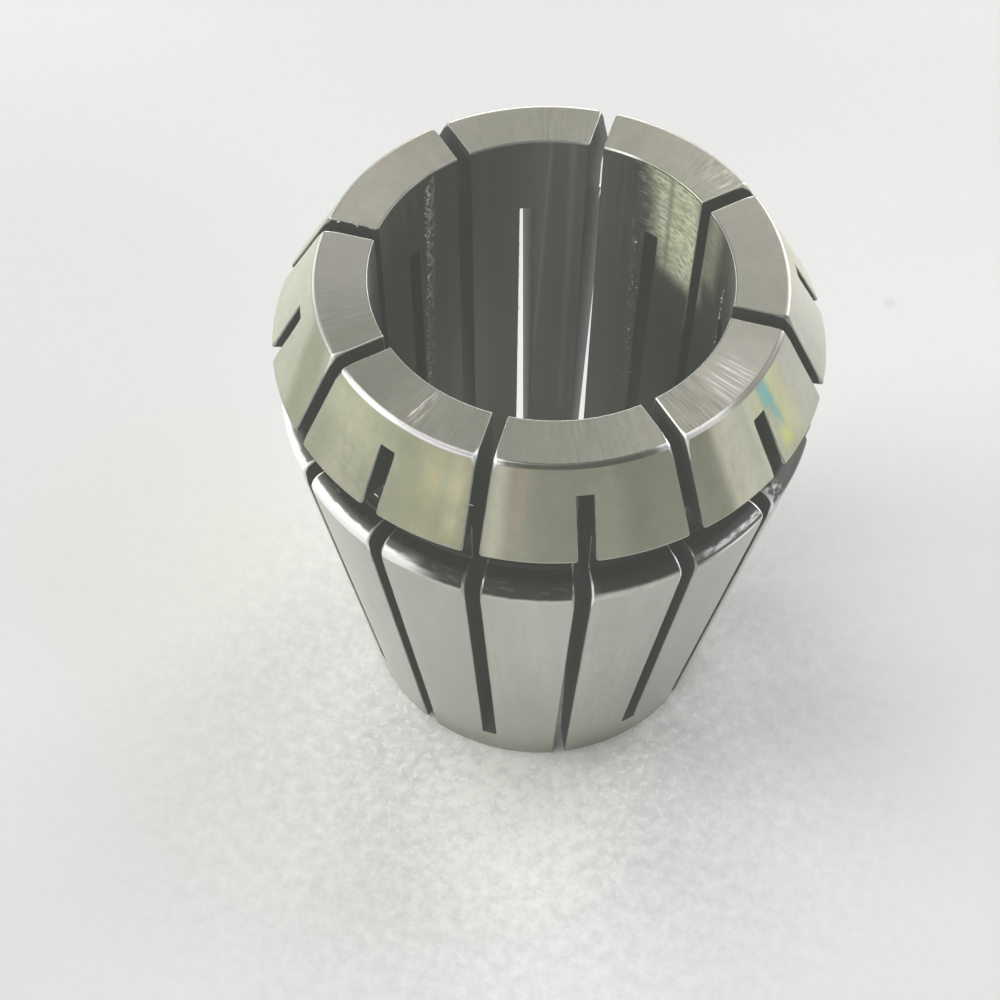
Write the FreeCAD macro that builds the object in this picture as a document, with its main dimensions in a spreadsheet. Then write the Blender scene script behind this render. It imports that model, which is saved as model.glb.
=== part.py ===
import FreeCAD, Part
import os
import Sketcher

# Spring collet: a turned and bored sleeve with an 8 degree seating taper, a groove for the
# clamping nut and a 30 degree nose cone, slotted in turn from its front and from its rear so
# that every segment can close on a round shank.
# Millimetres. The origin is the centre of the rear face, and +Z runs along the axis to the nose.

node_name = "collet_body"

driving_sizes = [
    ("overall_length", 46.0, "rear face to front face"),
    ("body_diameter", 41.0, "large end of the seating taper, before its rim is rounded"),
    ("taper_angle", 8.0, "half angle of the seating taper, degrees"),
    ("groove_width", 4.1, "rim of the taper to the back of the nose"),
    ("groove_depth", 2.4, "depth below the rim of the groove that the nut's ring snaps into"),
    ("nose_height", 6.32, "back of the nose to the front face"),
    ("nose_angle", 30.0, "half angle of the nose cone, degrees"),
    ("rear_wall", 2.5, "metal round the bore at the rear face, which leaves a bore of 26 mm"),
    ("face_land", 3.85, "width of the flat front face, which leaves a nose of 41 mm at its large end"),
    ("slot_width", 1.2, "thickness of the slitting saw"),
    ("slots_per_end", 8, "slots cut from each end"),
    ("front_web", 1.87, "metal left ahead of a rear slot, down from the front face on the cone"),
    ("rear_web", 4.0, "metal left behind a front slot, up from the rear face on the taper"),
    ("saw_diameter", 63.0, "slitting saw, whose rim leaves each slot's end curved"),
    ("saw_reach", 6.8, "how far past the bore's wall, towards the axis, the saw's rim runs"),
    ("saw_overrun", 2.0, "how far the cut runs past the open end of a slot"),
    ("rim_rounding", 1.1, "radius on the rim where the taper meets the groove"),
    ("groove_corner", 0.3, "corner that the grooving tool's tip leaves at the groove's floor"),
    ("face_chamfer", 0.2, "edge break where the front face meets the nose cone"),
    ("flange_chamfer", 0.1, "edge break on the sharp back edge of the nose cone"),
    ("bore_mouth_chamfer", 0.15, "edge break of the bore at the front face"),
    ("rear_chamfer", 0.5, "outer chamfer of the rear face, which leads the collet in"),
    ("bore_rear_chamfer", 0.3, "edge break of the bore at the rear face"),
]

worked_out_sizes = [
    ("rim_radius", "body_diameter / 2"),
    ("groove_radius", "rim_radius - groove_depth"),
    ("flange_level", "overall_length - nose_height"),
    ("rim_level", "flange_level - groove_width"),
    ("rear_radius", "rim_radius - rim_level * tan(taper_angle)"),
    ("bore_radius", "rear_radius - rear_wall"),
    ("face_radius", "bore_radius + face_land"),
    ("flange_radius", "face_radius + nose_height * tan(nose_angle)"),
    ("saw_radius", "saw_diameter / 2"),
    ("saw_inner_reach", "bore_radius - saw_reach"),
    ("saw_axis_distance", "saw_inner_reach + saw_radius"),
    ("rear_slot_end_radius", "face_radius + front_web * tan(nose_angle)"),
    ("rear_slot_end_level", "overall_length - front_web"),
    ("rear_slot_saw_drop", "sqrt(saw_radius ^ 2 - (saw_axis_distance - rear_slot_end_radius) ^ 2)"),
    ("rear_slot_saw_level", "rear_slot_end_level - rear_slot_saw_drop"),
    ("rear_slot_open_level", "-saw_overrun"),
    ("front_slot_end_radius", "rear_radius + rear_web * tan(taper_angle)"),
    ("front_slot_saw_rise", "sqrt(saw_radius ^ 2 - (saw_axis_distance - front_slot_end_radius) ^ 2)"),
    ("front_slot_saw_level", "rear_web + front_slot_saw_rise"),
    ("front_slot_open_level", "overall_length + saw_overrun"),
    ("slot_pitch", "360 / slots_per_end"),
    ("half_pitch", "slot_pitch / 2"),
]

full_turn = 360.0
same_length = 1e-6


# Document and spreadsheet
doc = FreeCAD.newDocument("spring_collet")
sheet = doc.addObject("Spreadsheet::Sheet", "sizes")


def fill_sheet():
    """Write the driving sizes as plain numbers and the worked-out ones as formulas."""
    row = 1
    for alias, value, meaning in driving_sizes:
        sheet.set("A%d" % row, alias)
        sheet.set("B%d" % row, str(value))
        sheet.set("C%d" % row, meaning)
        sheet.setAlias("B%d" % row, alias)
        row += 1
    for alias, formula in worked_out_sizes:
        sheet.set("A%d" % row, alias)
        sheet.set("B%d" % row, "=" + formula)
        sheet.setAlias("B%d" % row, alias)
        row += 1
    doc.recompute()


def size(alias):
    """The value of a cell, for the first guess of a sketch and for finding edges."""
    return float(sheet.get(alias))


fill_sheet()


# Helpers for the body
body = doc.addObject("PartDesign::Body", node_name)
body.Label = node_name


def origin_feature(role):
    """One of the body's own origin planes or axes."""
    for item in body.Origin.OriginFeatures:
        if item.Role == role:
            return item
    raise RuntimeError("the body's origin has no " + role)


def radial_sketch(name):
    """A sketch in the plane through the axis: its x is the radius and its y is the height."""
    sketch = body.newObject("Sketcher::SketchObject", name)
    sketch.AttachmentSupport = [(origin_feature("XZ_Plane"), "")]
    sketch.MapMode = "FlatFace"
    return sketch


def bind(sketch, constraint, expression):
    """Add a dimension to a sketch and tie it to the spreadsheet."""
    index = sketch.addConstraint(constraint)
    sketch.setExpression("Constraints[%d]" % index, expression)


def bind_point(sketch, edge, end, radius=None, level=None):
    """Tie a point's distance from the axis, its height above the rear face, or both."""
    if radius:
        bind(sketch, Sketcher.Constraint("DistanceX", -1, 1, edge, end, size(radius)), "sizes." + radius)
    if level:
        bind(sketch, Sketcher.Constraint("DistanceY", -1, 1, edge, end, size(level)), "sizes." + level)


def join_in_ring(sketch, edges):
    """Close a ring of edges: each one ends where the next begins."""
    for this, following in zip(edges, edges[1:] + edges[:1]):
        sketch.addConstraint(Sketcher.Constraint("Coincident", this, 2, following, 1))


def point(radius, level):
    """A sketch point from a radius and a height."""
    return FreeCAD.Vector(radius, level, 0)


def circle_edges(feature, radius, level):
    """Names of the feature's circular edges of this radius round the axis at this height."""
    found = []
    for index, edge in enumerate(feature.Shape.Edges, start=1):
        curve = edge.Curve
        if not isinstance(curve, Part.Circle):
            continue
        if abs(curve.Radius - radius) < same_length and abs(curve.Center.z - level) < same_length:
            found.append("Edge%d" % index)
    if not found:
        raise RuntimeError("no edge of radius %.3f at height %.3f" % (radius, level))
    return found


def dress(kind, name, corners, alias):
    """Round or chamfer the named corners of the body as it stands, each a (radius, level) pair."""
    base = body.Tip
    names = []
    for radius, level in corners:
        names += circle_edges(base, radius, level)
    feature = body.newObject("PartDesign::" + kind, name)
    feature.Base = (base, names)
    feature.setExpression("Radius" if kind == "Fillet" else "Size", "sizes." + alias)
    doc.recompute()
    return feature


# Turned blank: half of its section, revolved
def turn_blank():
    """The sleeve as it leaves the lathe, with every corner still sharp."""
    section = radial_sketch("section")
    corners = [
        point(size("bore_radius"), 0),
        point(size("rear_radius"), 0),
        point(size("rim_radius"), size("rim_level")),
        point(size("groove_radius"), size("rim_level")),
        point(size("groove_radius"), size("flange_level")),
        point(size("flange_radius"), size("flange_level")),
        point(size("face_radius"), size("overall_length")),
        point(size("bore_radius"), size("overall_length")),
    ]
    edges = []
    for start, end in zip(corners, corners[1:] + corners[:1]):
        edges.append(section.addGeometry(Part.LineSegment(start, end), False))
    join_in_ring(section, edges)
    rear, taper, rim, floor, flange, cone, face, bore = edges
    for edge in (rear, rim, flange, face):
        section.addConstraint(Sketcher.Constraint("Horizontal", edge))
    for edge in (floor, bore):
        section.addConstraint(Sketcher.Constraint("Vertical", edge))
    section.addConstraint(Sketcher.Constraint("PointOnObject", rear, 1, -1))
    bind_point(section, rear, 1, radius="bore_radius")
    bind_point(section, taper, 1, radius="rear_radius")
    bind_point(section, rim, 1, radius="rim_radius", level="rim_level")
    bind_point(section, floor, 1, radius="groove_radius")
    bind_point(section, flange, 2, radius="flange_radius", level="flange_level")
    bind_point(section, face, 1, radius="face_radius", level="overall_length")
    doc.recompute()
    blank = body.newObject("PartDesign::Revolution", "turned_blank")
    blank.Profile = section
    blank.ReferenceAxis = (section, ["V_Axis"])
    blank.Angle = full_turn
    doc.recompute()
    return blank


def round_corners():
    """Roundings and edge breaks that the lathe and the grinder leave."""
    top = size("overall_length")
    rim = (size("rim_radius"), size("rim_level"))
    floor_rear = (size("groove_radius"), size("rim_level"))
    floor_front = (size("groove_radius"), size("flange_level"))
    flange = (size("flange_radius"), size("flange_level"))
    dress("Fillet", "rim_round", [rim], "rim_rounding")
    dress("Chamfer", "groove_corners", [floor_rear, floor_front], "groove_corner")
    dress("Chamfer", "flange_edge", [flange], "flange_chamfer")
    dress("Chamfer", "face_edge", [(size("face_radius"), top)], "face_chamfer")
    dress("Chamfer", "bore_mouth", [(size("bore_radius"), top)], "bore_mouth_chamfer")
    dress("Chamfer", "rear_lead", [(size("rear_radius"), 0)], "rear_chamfer")
    dress("Chamfer", "bore_rear", [(size("bore_radius"), 0)], "bore_rear_chamfer")


# Slots: the path of a saw that is fed along the axis until its rim reaches the end of the slot
def saw_path(name, saw_level, open_level, up):
    """A radial section of what the saw removes. It is open at open_level and rounded at its end."""
    path = radial_sketch(name)
    centre = point(size("saw_axis_distance"), size(saw_level))
    towards_axis = point(-size("saw_radius"), 0)
    along_axis = point(0, size("saw_radius") if up else -size("saw_radius"))
    inner_end = centre + towards_axis
    far_end = centre + along_axis
    middle = centre + (towards_axis + along_axis).normalize() * size("saw_radius")
    open_inner = point(inner_end.x, size(open_level))
    open_outer = point(far_end.x, size(open_level))
    inner_line = path.addGeometry(Part.LineSegment(open_inner, inner_end), False)
    rim_arc = path.addGeometry(Part.Arc(inner_end, middle, far_end), False)
    outer_line = path.addGeometry(Part.LineSegment(far_end, open_outer), False)
    open_line = path.addGeometry(Part.LineSegment(open_outer, open_inner), False)
    # An arc always runs anticlockwise, so which of its ends is the inner one depends on the side.
    arc_inner, arc_outer = (2, 1) if up else (1, 2)
    path.addConstraint(Sketcher.Constraint("Coincident", inner_line, 2, rim_arc, arc_inner))
    path.addConstraint(Sketcher.Constraint("Coincident", rim_arc, arc_outer, outer_line, 1))
    path.addConstraint(Sketcher.Constraint("Coincident", outer_line, 2, open_line, 1))
    path.addConstraint(Sketcher.Constraint("Coincident", open_line, 2, inner_line, 1))
    path.addConstraint(Sketcher.Constraint("Vertical", inner_line))
    path.addConstraint(Sketcher.Constraint("Vertical", outer_line))
    path.addConstraint(Sketcher.Constraint("Horizontal", open_line))
    path.addConstraint(Sketcher.Constraint("Horizontal", rim_arc, 3, rim_arc, arc_inner))
    path.addConstraint(Sketcher.Constraint("Vertical", rim_arc, 3, rim_arc, arc_outer))
    bind(path, Sketcher.Constraint("Radius", rim_arc, size("saw_radius")), "sizes.saw_radius")
    bind_point(path, rim_arc, 3, radius="saw_axis_distance", level=saw_level)
    bind_point(path, open_line, 1, level=open_level)
    doc.recompute()
    return path


def cut_slots(name, path):
    """Saw one slot and repeat it round the axis."""
    before = body.Shape.Volume
    slot = body.newObject("PartDesign::Pocket", name)
    slot.Profile = path
    slot.SideType = "Symmetric"
    slot.setExpression("Length", "sizes.slot_width")
    doc.recompute()
    after_one = body.Shape.Volume
    ring = body.newObject("PartDesign::PolarPattern", name + "s")
    ring.Originals = [slot]
    ring.Axis = (origin_feature("Z_Axis"), [""])
    ring.Angle = full_turn
    ring.setExpression("Occurrences", "sizes.slots_per_end")
    body.Tip = ring
    doc.recompute()
    after_all = body.Shape.Volume
    print("%s: one removes %.1f mm3, all remove %.1f mm3" % (name, before - after_one, before - after_all))
    if not before > after_one > after_all:
        raise RuntimeError(name + " cuts nothing")


def cut_front_slots():
    """Slots from the front face, one of them on the +X side."""
    path = saw_path("front_saw_path", "front_slot_saw_level", "front_slot_open_level", up=False)
    cut_slots("front_slot", path)


def cut_rear_slots():
    """Slots from the rear face, half a pitch round from the front ones."""
    path = saw_path("rear_saw_path", "rear_slot_saw_level", "rear_slot_open_level", up=True)
    path.AttachmentOffset = FreeCAD.Placement(
        FreeCAD.Vector(0, 0, 0), FreeCAD.Rotation(FreeCAD.Vector(0, 1, 0), size("half_pitch"))
    )
    path.setExpression("AttachmentOffset.Rotation.Angle", "sizes.half_pitch")
    cut_slots("rear_slot", path)


turn_blank()
round_corners()
cut_front_slots()
cut_rear_slots()


# Checks and export
def check_document():
    """Stop if any object failed or the finished body isn't one valid solid."""
    for item in doc.Objects:
        if "Invalid" in item.State or "Error" in item.State:
            raise RuntimeError("%s failed: %s" % (item.Name, item.State))
    shape = body.Shape
    if shape.isNull() or not shape.isValid() or len(shape.Solids) != 1:
        raise RuntimeError("the collet isn't one valid solid")


check_document()
os.makedirs("parts", exist_ok=True)
body.Shape.exportStep("parts/%s.step" % node_name)
print("%s: volume %.1f mm3, box %s" % (node_name, body.Shape.Volume, body.Shape.BoundBox))
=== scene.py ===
import bpy
import math
import numpy as np
from mathutils import Matrix, Vector


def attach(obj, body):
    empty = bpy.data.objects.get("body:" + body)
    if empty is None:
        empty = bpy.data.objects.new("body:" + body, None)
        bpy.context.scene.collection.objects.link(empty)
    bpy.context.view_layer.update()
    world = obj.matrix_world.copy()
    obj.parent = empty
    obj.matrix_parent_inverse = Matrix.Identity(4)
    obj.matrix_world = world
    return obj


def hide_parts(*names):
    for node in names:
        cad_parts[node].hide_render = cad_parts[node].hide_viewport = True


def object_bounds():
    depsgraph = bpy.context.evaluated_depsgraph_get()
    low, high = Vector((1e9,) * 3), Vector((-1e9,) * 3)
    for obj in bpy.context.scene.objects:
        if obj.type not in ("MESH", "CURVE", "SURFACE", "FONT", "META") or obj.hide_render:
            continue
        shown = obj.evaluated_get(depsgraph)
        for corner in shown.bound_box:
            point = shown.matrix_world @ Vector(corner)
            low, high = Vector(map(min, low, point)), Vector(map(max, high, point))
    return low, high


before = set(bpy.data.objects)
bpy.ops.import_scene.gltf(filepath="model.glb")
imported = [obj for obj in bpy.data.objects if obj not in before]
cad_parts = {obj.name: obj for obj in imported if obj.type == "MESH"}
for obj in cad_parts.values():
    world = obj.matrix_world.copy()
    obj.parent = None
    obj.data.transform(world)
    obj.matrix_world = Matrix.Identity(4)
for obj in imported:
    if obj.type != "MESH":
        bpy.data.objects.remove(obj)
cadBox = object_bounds()
metresPerMm = 0.001
metresPerMicron = 0.000001
print("frame loaded")


# Sizes of the collet in mm and degrees. The main ones are the solid's, and roundings stand for its chamfers
collet = {
    "length": (cadBox[1].z - cadBox[0].z) / metresPerMm,
    "bodyDiameter": 41.0,
    "taperAngle": 8.0,
    "grooveWidth": 4.1,
    "grooveDepth": 2.4,
    "noseHeight": 6.32,
    "noseAngle": 30.0,
    "rearWall": 2.5,
    "faceLand": 3.85,
    "slotWidth": 1.2,
    "slotPinch": 0.12,      # how much narrower a slot has sprung at its open end
    "slotsPerEnd": 8,
    "frontWeb": 1.87,       # metal left ahead of a rear slot
    "rearWeb": 4.0,         # metal left behind a front slot
    "sawDiameter": 63.0,
    "sawReach": 6.8,        # how far past the bore's wall the saw's rim runs
    "rimRound": 1.1,
    "grooveRound": 0.3,
    "faceRound": 0.45,
    "flangeRound": 0.13,
    "boreMouthRound": 0.16,
    "rearRound": 0.25,
    "boreRearRound": 0.3,
}

rimRadius = collet["bodyDiameter"] / 2
flangeLevel = collet["length"] - collet["noseHeight"]
rimLevel = flangeLevel - collet["grooveWidth"]
taperSlope = math.tan(math.radians(collet["taperAngle"]))
noseSlope = math.tan(math.radians(collet["noseAngle"]))
rearRadius = rimRadius - rimLevel * taperSlope
boreRadius = rearRadius - collet["rearWall"]
faceRadius = boreRadius + collet["faceLand"]
flangeRadius = faceRadius + collet["noseHeight"] * noseSlope
grooveRadius = rimRadius - collet["grooveDepth"]
halfSlot = collet["slotWidth"] / 2
halfPitch = math.pi / collet["slotsPerEnd"]

sawRadius = collet["sawDiameter"] / 2
sawOut = boreRadius - collet["sawReach"] + sawRadius   # saw's own axis, out from the collet's


def sawDrop(radius):   # how far the saw's rim stands from its axis at this radius
    return math.sqrt(sawRadius ** 2 - (sawOut - radius) ** 2)


frontSlotAxis = collet["rearWeb"] + sawDrop(rearRadius + collet["rearWeb"] * taperSlope)
rearSlotAxis = collet["length"] - collet["frontWeb"] - sawDrop(faceRadius + collet["frontWeb"] * noseSlope)

# Where each slot runs out, as levels on the outside and in the bore
slotEnds = {
    "front": {"outside": collet["rearWeb"], "bore": frontSlotAxis - sawDrop(boreRadius)},
    "rear": {"outside": collet["length"] - collet["frontWeb"], "bore": rearSlotAxis + sawDrop(boreRadius)},
}

# How finely the skin is laid out
skin = {
    "row": {"bore": 0.7, "taper": 0.9, "other": 0.8},   # mm between rows
    "slack": 1e-6,          # share of a row that is let go when rows are counted
    "arcStep": 12.0,        # degrees of an edge's rounding in one row
    "columns": 10,          # cells across half a segment
    "webColumns": 3,        # cells across half a slot's width, where a web closes it
    "edgeSteps": 3,         # cells round the broken edge of a slot
    "endSteps": 8,          # cells along a slot's curved end
    "slotEdgeUneven": 0.25,
    "slotEdgeWave": 1.3,    # mm, length of that unevenness
    "slotEdgeBlend": 0.25,  # mm over which one stretch's edge passes into the next
    "endFade": 0.4,         # mm over which the broken edge runs out at a slot's end
    "joinWithin": 2e-5,     # mm, corners nearer than this are one
    "seed": 41,
}

# How much the slots' edges are broken along each stretch, in mm
slotEdges = {
    "face": 0.10, "faceEdge": 0.30, "nose": 0.10, "flangeEdge": 0.22, "noseBack": 0.06,
    "groove": 0.05, "grooveCorner": 0.05, "rimWall": 0.12, "rim": 0.20, "taper": 0.08,
    "rearLead": 0.09, "rearFace": 0.08, "boreRear": 0.06, "bore": 0.06, "boreMouth": 0.09,
}


def stretchBreaks(name):   # levels that need a row of their own, at and beside the slots' ends
    ends = {"taper": [slotEnds["front"]["outside"]], "nose": [slotEnds["rear"]["outside"]],
            "bore": [slotEnds["front"]["bore"], slotEnds["rear"]["bore"]]}.get(name, [])
    fade = skin["endFade"]
    return [end + share * fade for end in ends for share in (-1, -0.5, 0, 0.5, 1)]


def colletSection():   # closed outline as rows of radius, level, normal and the name of what follows
    c = collet
    corners = [
        (boreRadius, 0, c["boreRearRound"], "boreRear", "rearFace"),
        (rearRadius, 0, c["rearRound"], "rearLead", "taper"),
        (rimRadius, rimLevel, c["rimRound"], "rim", "rimWall"),
        (grooveRadius, rimLevel, c["grooveRound"], "grooveCorner", "groove"),
        (grooveRadius, flangeLevel, c["grooveRound"], "grooveCorner", "noseBack"),
        (flangeRadius, flangeLevel, c["flangeRound"], "flangeEdge", "nose"),
        (faceRadius, c["length"], c["faceRound"], "faceEdge", "face"),
        (boreRadius, c["length"], c["boreMouthRound"], "boreMouth", "bore"),
    ]
    count = len(corners)
    spots = [np.array(corner[:2], float) for corner in corners]
    ways = [(spots[(k + 1) % count] - spots[k]) for k in range(count)]
    ways = [way / np.linalg.norm(way) for way in ways]
    turns = []
    for k in range(count):
        before, after = ways[k - 1], ways[k]
        turns.append(math.atan2(before[0] * after[1] - before[1] * after[0], before @ after))
    cutBacks = [corners[k][2] * math.tan(abs(turns[k]) / 2) for k in range(count)]
    rows = []
    for k in range(count):
        side = math.copysign(1, turns[k])
        startNormal = np.array([ways[k - 1][1], -ways[k - 1][0]])
        start = spots[k] - ways[k - 1] * cutBacks[k]
        centre = start - side * corners[k][2] * startNormal
        steps = max(2, math.ceil(abs(math.degrees(turns[k])) / skin["arcStep"]))
        for step in range(steps + 1):
            angle = turns[k] * step / steps
            normal = np.array([startNormal[0] * math.cos(angle) - startNormal[1] * math.sin(angle),
                               startNormal[0] * math.sin(angle) + startNormal[1] * math.cos(angle)])
            place = centre + side * corners[k][2] * normal
            rows.append((*place, *normal, corners[k][3] if step < steps else corners[k][4]))
        nextCorner = (k + 1) % count
        stretchStart = spots[k] + ways[k] * cutBacks[k]
        stretchEnd = spots[nextCorner] - ways[k] * cutBacks[nextCorner]
        length = np.linalg.norm(stretchEnd - stretchStart)
        stops = [0.0, length]
        for level in stretchBreaks(corners[k][4]):
            stops.append((level - stretchStart[1]) / ways[k][1])
        stops = sorted(stops)
        normal = np.array([ways[k][1], -ways[k][0]])
        spacing = skin["row"].get(corners[k][4], skin["row"]["other"])
        for first, last in zip(stops, stops[1:]):
            cells = max(1, math.ceil((last - first) / spacing - skin["slack"]))
            for cell in range(cells):
                along = first + (last - first) * cell / cells
                if along > 0:
                    rows.append((*(stretchStart + ways[k] * along), *normal, corners[k][4]))
    return rows


def rowAt(rows, name, level):   # index of the row of that stretch at that level
    return min((i for i, row in enumerate(rows) if row[4] == name), key=lambda i: abs(rows[i][1] - level))


def unevenLine(rng, along, wave):   # smooth random line from -1 to 1, with a new value every wave
    knots = np.arange(along.min() - wave, along.max() + 2 * wave, wave)
    return np.interp(along, knots, rng.uniform(-1, 1, len(knots)))


rows = colletSection()
radii = np.array([row[0] for row in rows])
levels = np.array([row[1] for row in rows])
normals = np.array([row[2:4] for row in rows])
names = [row[4] for row in rows]
rowCount = len(rows)
steps = np.hypot(np.diff(radii, append=radii[0]), np.diff(levels, append=levels[0]))
along = np.concatenate([[0], np.cumsum(steps)])   # way along the outline, one more than the rows
frontOut = rowAt(rows, "taper", slotEnds["front"]["outside"])
frontIn = rowAt(rows, "bore", slotEnds["front"]["bore"])
rearOut = rowAt(rows, "nose", slotEnds["rear"]["outside"])
rearIn = rowAt(rows, "bore", slotEnds["rear"]["bore"])
openRows = {
    "front": list(range(frontOut, frontIn + 1)),
    "rear": list(range(rearIn, rowCount)) + list(range(0, rearOut + 1)),
}
wayApart = np.abs(along[:rowCount, None] - along[None, :rowCount])
nearness = np.exp(-(wayApart / skin["slotEdgeBlend"]) ** 2)
plainEdge = nearness @ np.array([slotEdges[name] for name in names]) / nearness.sum(axis=1)


def slotHalf(slot, level):   # half the slot's width, which narrows towards its open end
    ends = slotEnds[slot]
    closed, opening = ends["outside"], (collet["length"] if slot == "front" else 0.0)
    share = np.clip((level - closed) / (opening - closed), 0, 1)
    return halfSlot - collet["slotPinch"] / 2 * share


print("section laid out with", rowCount, "rows")

# What each stretch of the skin is finished as
finishOf = {
    "rearFace": "rear", "boreRear": "rear", "rearLead": "rear",
    "taper": "taper", "rim": "rim", "rimWall": "rimWall", "grooveCorner": "groove",
    "groove": "groove", "noseBack": "groove", "flangeEdge": "edge", "nose": "nose",
    "faceEdge": "edge", "face": "face", "boreMouth": "edge", "bore": "bore",
}
finishes = ["rear", "taper", "rim", "rimWall", "groove", "edge", "nose", "face", "bore", "saw", "slotEdge"]


class ColletSkin:   # gathers faces with their own normals and places in the turned map
    def __init__(self):
        self.faces = []

    def addGrid(self, places, facing, maps, keep, finish):
        # places, facing and maps are laid out by row and column, keep says which cells are skin
        height, width = places.shape[:2]
        for i in range(height - 1):
            if not keep[i]:
                continue
            for j in range(width - 1):
                picks = [(i, j), (i, j + 1), (i + 1, j + 1), (i + 1, j)]
                self.addFace([places[p] for p in picks], [facing[p] for p in picks],
                             [maps[p] for p in picks], finish[i])

    def addFace(self, places, facing, maps, finish):
        places, facing = np.array(places), np.array(facing)
        around = np.roll(places, -1, axis=0)
        area = np.cross(places, around).sum(axis=0)
        if area @ facing.mean(axis=0) < 0:
            places, facing, maps = places[::-1], facing[::-1], maps[::-1]
        self.faces.append((places, facing, np.array(maps), finish))


def onTurn(turn, outward, level):   # places, or ways, at these azimuths in radians
    return np.stack([outward * np.cos(turn), outward * np.sin(turn), level * np.ones_like(turn)], axis=-1)


def buildHalfSegment(out, middle, side, rng):
    # the skin from the middle of a front slot to the middle of a rear slot, on one side
    base = {"front": middle, "rear": middle + side * halfPitch}
    lean = {"front": side, "rear": -side}

    def place(x, y, z, slot):   # x outward along the slot, y across it towards the segment
        turn, y = base[slot], lean[slot] * y
        return np.stack([x * math.cos(turn) - y * math.sin(turn),
                         x * math.sin(turn) + y * math.cos(turn), z * np.ones_like(x)], axis=-1)

    def edgeBreak(slot):   # how much the slot's edge is broken at each row
        ahead = openRows[slot]
        wide = np.zeros(rowCount)
        run = np.concatenate([[0], np.cumsum([steps[i] for i in ahead[:-1]])])
        fade = np.clip(np.minimum(run, run[-1] - run) / skin["endFade"], 0, 1)
        uneven = 1 + skin["slotEdgeUneven"] * unevenLine(rng, run, skin["slotEdgeWave"])
        wide[ahead] = plainEdge[ahead] * uneven * fade
        return wide

    def addRows(places, facing, turn, keep, finish):   # closed round the outline by the first row once more
        wrapRows = np.arange(rowCount + 1) % rowCount
        turn = turn[wrapRows]
        maps = np.stack([turn * rimRadius, np.broadcast_to(along[:, None], turn.shape)], -1)
        out.addGrid(places[wrapRows], facing[wrapRows], maps, keep, finish)

    broken = {slot: edgeBreak(slot) for slot in ("front", "rear")}
    finish = [finishOf[name] for name in names]
    outward, upward = normals[:, :1], normals[:, 1:]

    # plain skin between the two slots
    first = np.arcsin((slotHalf("front", levels) + broken["front"]) / radii)
    last = halfPitch - np.arcsin((slotHalf("rear", levels) + broken["rear"]) / radii)
    share = np.linspace(0, 1, skin["columns"] + 1)
    turn = middle + side * (first[:, None] + (last - first)[:, None] * share)
    places = onTurn(turn, radii[:, None], levels[:, None])
    addRows(places, onTurn(turn, outward, upward), turn, np.ones(rowCount, bool), finish)

    for slot, ahead in openRows.items():
        opened = np.zeros(rowCount, bool)
        opened[ahead[:-1]] = True
        # skin over the web, where the slot has run out
        across = np.linspace(0, 1, skin["webColumns"] + 1)[None, :]
        y = slotHalf(slot, levels)[:, None] * across
        x = np.sqrt(radii[:, None] ** 2 - y ** 2)
        turn = base[slot] + lean[slot] * np.arctan2(y, x)
        addRows(place(x, y, levels[:, None], slot), onTurn(turn, outward, upward), turn, ~opened, finish)
        # broken edge of the slot
        wide = broken[slot][:, None]
        yEdge = slotHalf(slot, levels)[:, None] + wide
        xEdge = np.sqrt(radii[:, None] ** 2 - yEdge ** 2)
        bend = np.linspace(0, math.pi / 2, skin["edgeSteps"] + 1)
        x = (xEdge - wide * outward) + wide * outward * np.cos(bend)
        z = (levels[:, None] - wide * upward) + wide * upward * np.cos(bend)
        y = yEdge - wide * np.sin(bend)
        edgePlaces = place(x, y, z, slot)
        edgeTurn = np.arcsin(yEdge / radii[:, None])
        facing = place(outward * np.cos(edgeTurn) * np.cos(bend),
                       outward * np.sin(edgeTurn) * np.cos(bend) - np.sin(bend), upward * np.cos(bend), slot)
        facing /= np.linalg.norm(facing, axis=-1, keepdims=True)
        turn = base[slot] + lean[slot] * np.arctan2(y, x)
        addRows(edgePlaces, facing, turn, opened, ["slotEdge"] * rowCount)
        # curved end that the saw leaves
        outerRow, boreRow = (frontOut, frontIn) if slot == "front" else (rearOut, rearIn)
        sawAxis, up = (frontSlotAxis, -1) if slot == "front" else (rearSlotAxis, 1)
        reach = np.linspace(boreRadius, radii[outerRow], skin["endSteps"] + 1)
        endLevels = np.array([sawAxis + up * sawDrop(radius) for radius in reach])
        endLevels[0], endLevels[-1] = levels[boreRow], levels[outerRow]
        y = slotHalf(slot, endLevels)[:, None] * across
        x = np.sqrt(reach[:, None] ** 2 - y ** 2)
        endPlaces = place(x, y, endLevels[:, None], slot)
        inward = (sawOut - reach)[:, None] / sawRadius * np.ones_like(x)
        facing = place(inward, np.zeros_like(inward), (sawAxis - endLevels)[:, None] / sawRadius, slot)
        facing /= np.linalg.norm(facing, axis=-1, keepdims=True)
        maps = np.stack([y, reach[:, None] * np.ones_like(x)], -1)
        cells = len(reach) - 1
        out.addGrid(endPlaces, facing, maps, np.ones(cells, bool), ["saw"] * cells)
        # flat wall of the slot, closed along that end
        ring = [edgePlaces[i, -1] for i in ahead]
        mapRing = [(math.hypot(spot[0], spot[1]), spot[2]) for spot in ring]
        closing = range(1, cells)
        for step in closing if slot == "front" else reversed(closing):
            ring.append(endPlaces[step, -1])
            mapRing.append((reach[step], endLevels[step]))
        wallWay = place(np.array(0.0), np.array(-1.0), np.array(0.0), slot)
        out.addFace(ring, [wallWay] * len(ring), mapRing, "saw")


def addObject(name, data):
    shown = bpy.data.objects.new(name, data)
    bpy.context.scene.collection.objects.link(shown)
    return shown


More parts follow.
